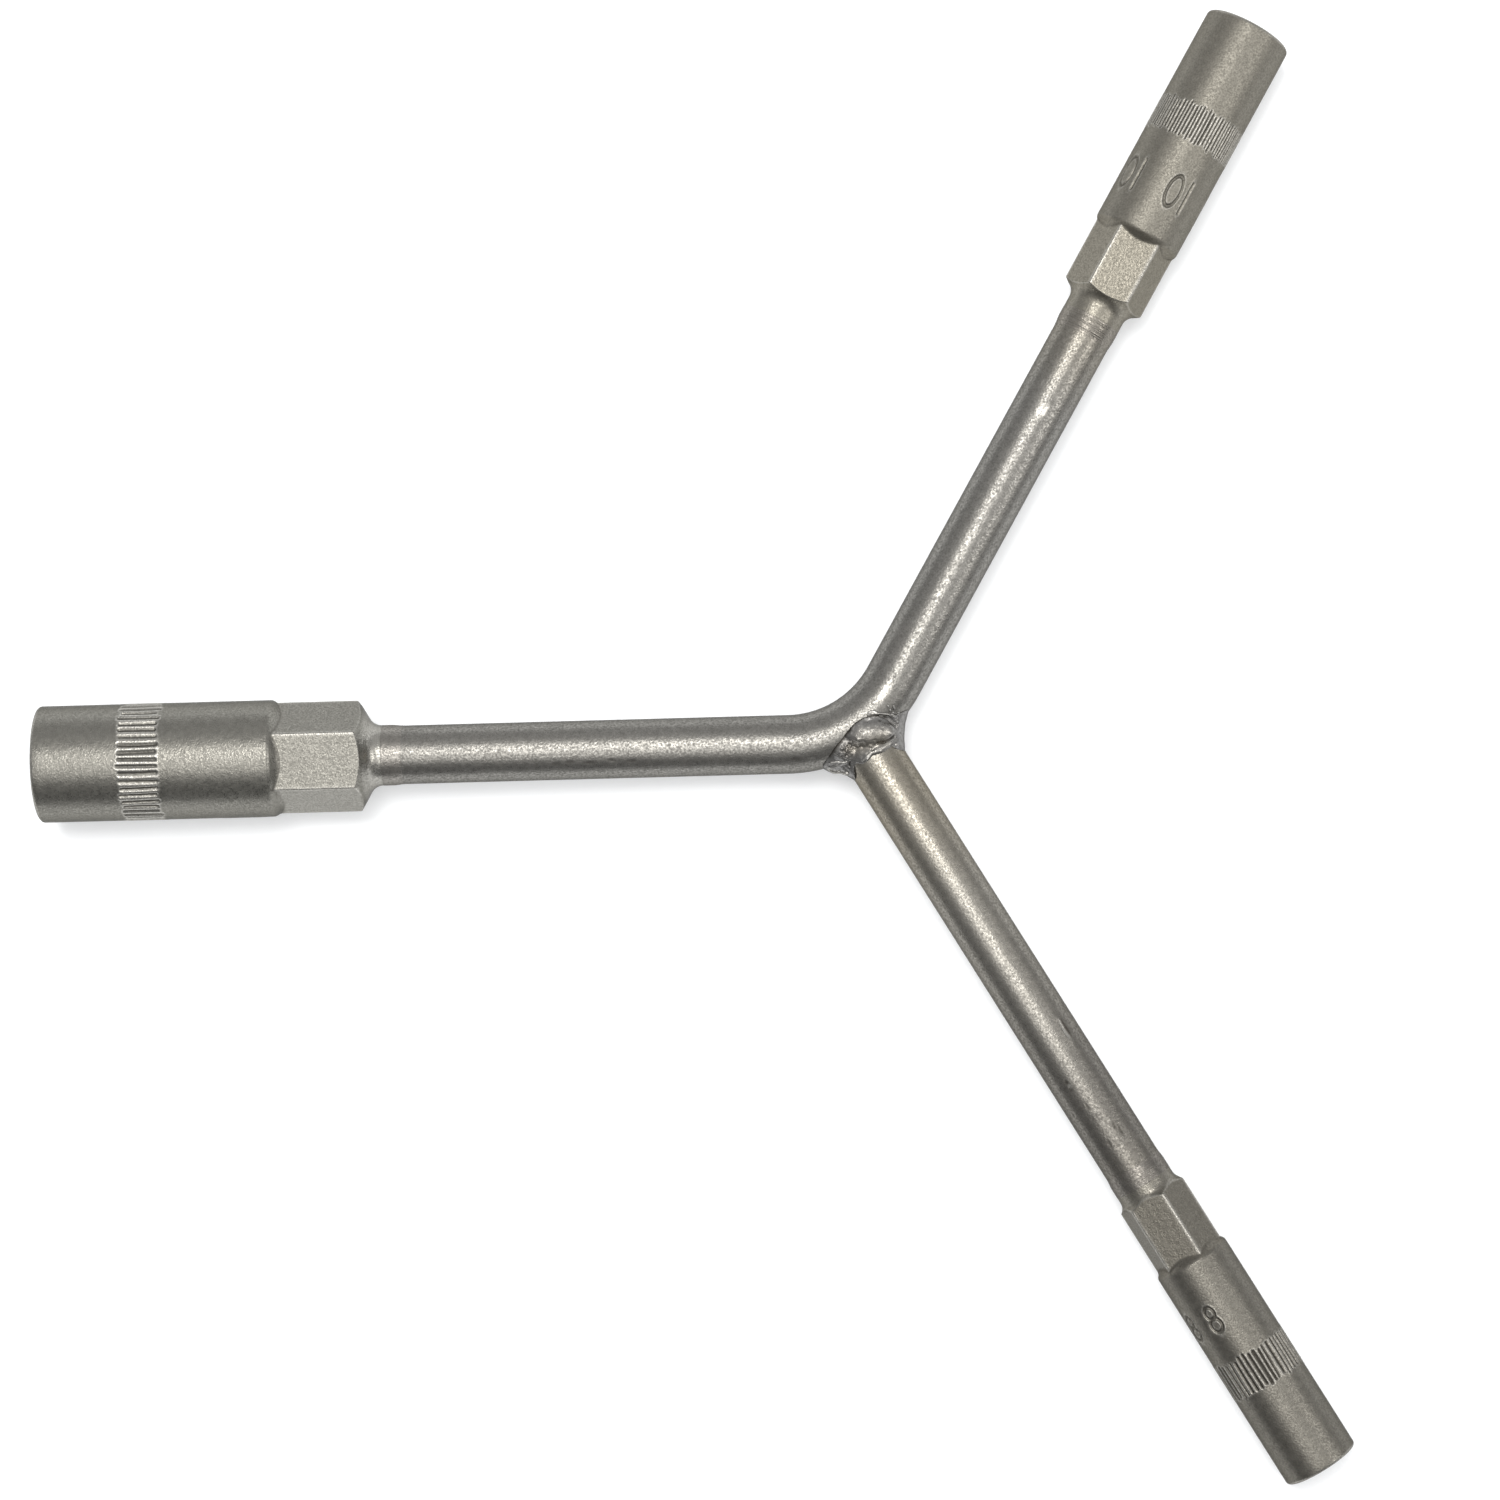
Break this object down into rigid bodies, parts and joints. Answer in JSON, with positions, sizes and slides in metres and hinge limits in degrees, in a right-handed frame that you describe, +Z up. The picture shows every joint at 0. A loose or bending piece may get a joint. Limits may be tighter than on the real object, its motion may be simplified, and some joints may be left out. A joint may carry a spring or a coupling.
{
  "type": "y wrench",
  "caption": "Rigid three-armed wrench of welded round bar with a six-point hexagon socket on the end of each arm, in three nut sizes.",
  "frame": {"origin": "on the bench under the middle of the tool as it lies on its three sockets", "axes": "+Z up from the bench; -X runs along the arm of the largest socket; +Y towards the middle-sized socket"},
  "size_m": [0.22, 0.2504, 0.0205],
  "materials": {
    "bar_steel": "satin plated steel, fine blasted grain, small nicks",
    "socket_steel": "satin plated steel, fine blasted grain, milled flats and knurled band",
    "weld_steel": "rough weld metal under the same plating"
  },
  "bodies": {
    "root": {"bent_bar": "bar_steel", "straight_bar": "bar_steel", "socket_14mm": "socket_steel", "socket_10mm": "socket_steel", "socket_8mm": "socket_steel", "butt_weld_14mm": "weld_steel", "butt_weld_10mm": "weld_steel", "butt_weld_8mm": "weld_steel", "front_weld_bead": "weld_steel", "back_weld_bead": "weld_steel", "left_crotch_weld": "weld_steel", "right_crotch_weld": "weld_steel"}
  },
  "joints": []
}
